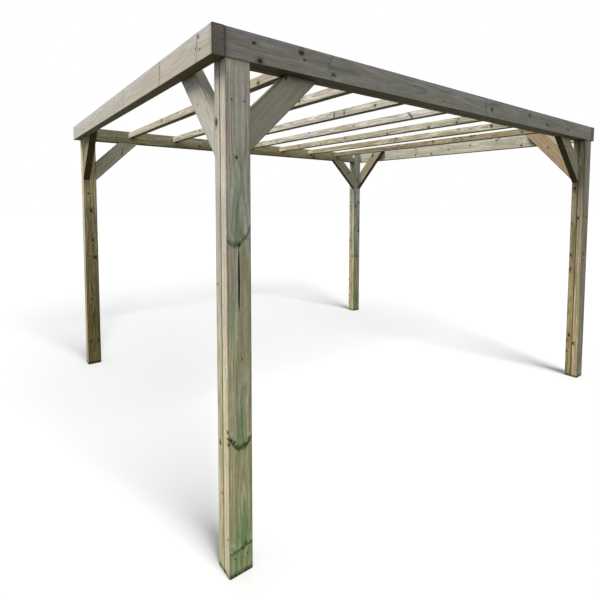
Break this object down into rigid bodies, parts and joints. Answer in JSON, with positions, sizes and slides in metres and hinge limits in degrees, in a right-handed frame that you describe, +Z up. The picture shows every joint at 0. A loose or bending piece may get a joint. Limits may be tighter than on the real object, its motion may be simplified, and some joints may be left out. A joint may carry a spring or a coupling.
{
  "type": "pergola",
  "caption": "Free-standing open timber pergola: square laminated posts, a ring of beams, diagonal knee braces and evenly spaced rafters set between the beams on ledgers.",
  "frame": {"origin": "middle of the plan, at ground level under the posts", "axes": "+X along the front to the right, +Y to the back, +Z up"},
  "size_m": [4, 3.6, 2.535],
  "materials": {
    "post_timber": "planed, pressure treated, weathered grey green",
    "beam_timber": "planed, pressure treated, weathered grey brown",
    "rafter_timber": "planed, pressure treated, pale",
    "brace_timber": "planed, pressure treated, weathered",
    "screw": "zinc plated"
  },
  "bodies": {
    "root": {"post_front_left_outer": "post_timber", "post_front_left_inner": "post_timber", "post_front_right_outer": "post_timber", "post_front_right_inner": "post_timber", "post_back_left_outer": "post_timber", "post_back_left_inner": "post_timber", "post_back_right_outer": "post_timber", "post_back_right_inner": "post_timber", "beam_front": "beam_timber", "beam_back": "beam_timber", "beam_left": "beam_timber", "beam_right": "beam_timber", "ledger_front": "beam_timber", "ledger_back": "beam_timber", "rafter_1": "rafter_timber", "rafter_2": "rafter_timber", "rafter_3": "rafter_timber", "rafter_4": "rafter_timber", "rafter_5": "rafter_timber", "rafter_6": "rafter_timber", "rafter_7": "rafter_timber", "brace_front_left_across": "brace_timber", "brace_front_left_along": "brace_timber", "brace_front_right_across": "brace_timber", "brace_front_right_along": "brace_timber", "brace_back_left_across": "brace_timber", "brace_back_left_along": "brace_timber", "brace_back_right_across": "brace_timber", "brace_back_right_along": "brace_timber"}
  },
  "joints": []
}
